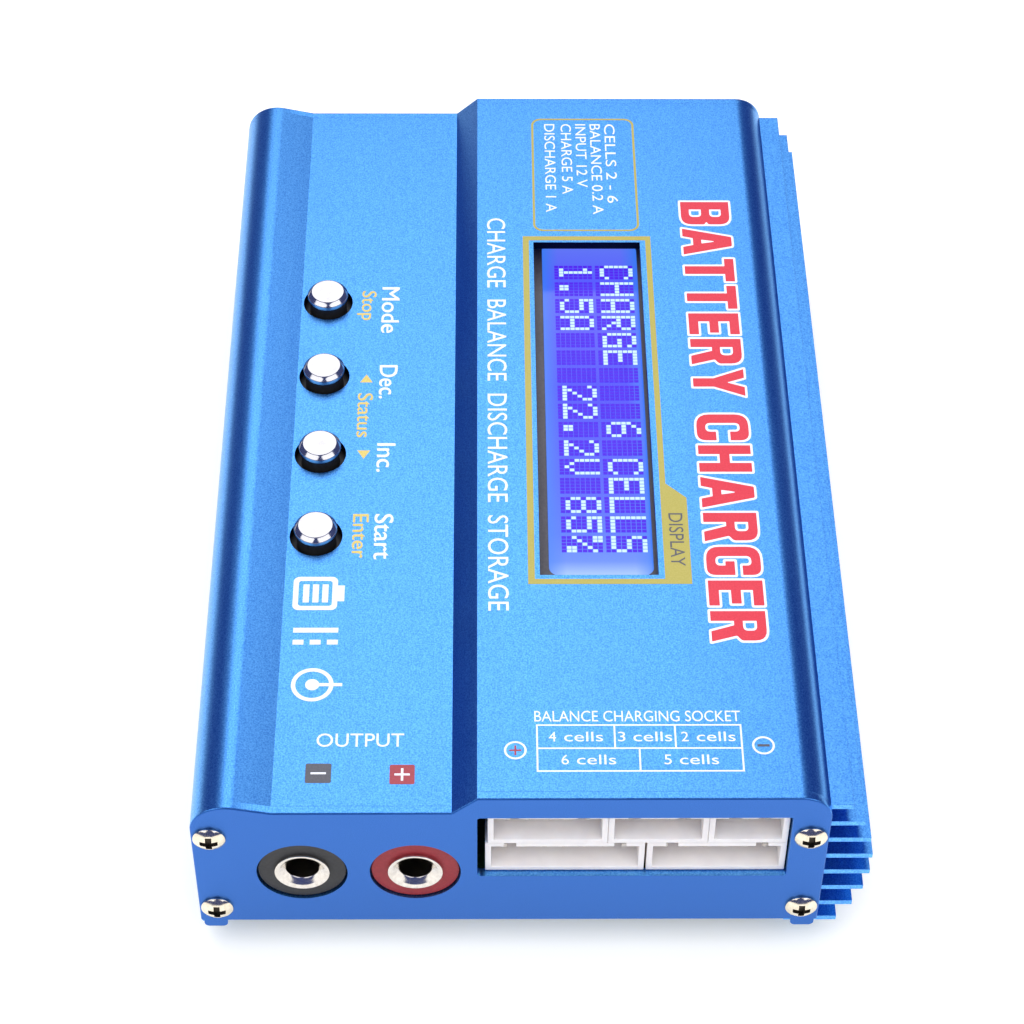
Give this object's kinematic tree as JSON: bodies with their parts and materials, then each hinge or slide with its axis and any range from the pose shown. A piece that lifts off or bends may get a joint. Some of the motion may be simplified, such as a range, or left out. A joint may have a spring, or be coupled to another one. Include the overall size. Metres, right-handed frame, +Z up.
{
  "type": "balance battery charger",
  "caption": "Desktop battery charger in a two-level extruded aluminium case with a finned side, a lit character display, push keys, output sockets and balance sockets.",
  "frame": {"origin": "on the desk, under the middle of the charger's bounding box", "axes": "+X towards the output end with the balance sockets, +Y towards the finned side, +Z up"},
  "size_m": [0.1352, 0.0848, 0.032],
  "materials": {
    "anodised_case": "satin blue anodised, bead blasted",
    "anodised_cover": "satin blue anodised",
    "anodised_plate": "smooth satin blue anodised",
    "nickel_screw": "nickel plated",
    "foot_rubber": "matt black",
    "black_insulator": "satin moulded",
    "red_insulator": "satin moulded",
    "nickel_sleeve": "nickel plated",
    "tinned_brass": "tinned",
    "white_nylon": "natural white moulded",
    "board_laminate": "green solder mask",
    "steel_post": "zinc plated",
    "chrome_cap": "polished",
    "black_plastic": "moulded",
    "bezel_black": "satin black",
    "lit_display": "backlit blue, smooth",
    "light_guide": "clear",
    "crystal_can": "bright",
    "thermal_silicone": "matt grey",
    "clamp_steel": "plain",
    "ferrite": "dark sintered",
    "copper_wire": "enamelled copper",
    "capacitor_sleeve": "shrink sleeve"
  },
  "bodies": {
    "housing": {"upper_case": "anodised_case", "floor_cover": "anodised_cover", "output_end_plate": "anodised_plate", "input_end_plate": "anodised_plate", "output_plate_screws": "nickel_screw", "input_plate_screws": "nickel_screw", "board_screws": "nickel_screw", "display_screws": "nickel_screw", "clamp_screws": "nickel_screw", "rubber_feet": "foot_rubber", "black_output_insulator": "black_insulator", "red_output_insulator": "red_insulator", "black_output_sleeve": "nickel_sleeve", "red_output_sleeve": "nickel_sleeve", "output_nuts": "nickel_sleeve", "output_solder_tags": "tinned_brass", "balance_pins": "tinned_brass", "display_header_pins": "tinned_brass", "sensor_socket_pins": "tinned_brass", "supply_jack_pin": "tinned_brass", "six_cell_balance_socket": "white_nylon", "five_cell_balance_socket": "white_nylon", "four_cell_balance_socket": "white_nylon", "three_cell_balance_socket": "white_nylon", "two_cell_balance_socket": "white_nylon", "sensor_socket": "white_nylon", "balance_board": "board_laminate", "main_board": "board_laminate", "display_board": "board_laminate", "board_posts": "steel_post", "key_switches": "black_plastic", "display_spacers": "black_plastic", "supply_jack": "black_plastic", "buzzer": "black_plastic", "microcontroller": "black_plastic", "small_chips": "black_plastic", "power_transistors": "black_plastic", "display_bezel": "bezel_black", "display_glass": "lit_display", "display_backlight": "light_guide", "quartz_crystal": "crystal_can", "thermal_pad": "thermal_silicone", "clamp_bar": "clamp_steel", "choke_core": "ferrite", "choke_winding": "copper_wire", "input_capacitors": "capacitor_sleeve", "output_capacitors": "capacitor_sleeve"},
    "start_key": {"start_key_cap": "chrome_cap", "start_key_plunger": "black_plastic"},
    "increase_key": {"increase_key_cap": "chrome_cap", "increase_key_plunger": "black_plastic"},
    "decrease_key": {"decrease_key_cap": "chrome_cap", "decrease_key_plunger": "black_plastic"},
    "stop_key": {"stop_key_cap": "chrome_cap", "stop_key_plunger": "black_plastic"}
  },
  "joints": [
    {"name": "start_key_press", "type": "slide", "parent": "housing", "child": "start_key", "axis": [0, 0, -1], "range_m": [0, 0.00025], "stiffness_N_per_m": 4000},
    {"name": "increase_key_press", "type": "slide", "parent": "housing", "child": "increase_key", "axis": [0, 0, -1], "range_m": [0, 0.00025], "stiffness_N_per_m": 4000},
    {"name": "decrease_key_press", "type": "slide", "parent": "housing", "child": "decrease_key", "axis": [0, 0, -1], "range_m": [0, 0.00025], "stiffness_N_per_m": 4000},
    {"name": "stop_key_press", "type": "slide", "parent": "housing", "child": "stop_key", "axis": [0, 0, -1], "range_m": [0, 0.00025], "stiffness_N_per_m": 4000}
  ]
}
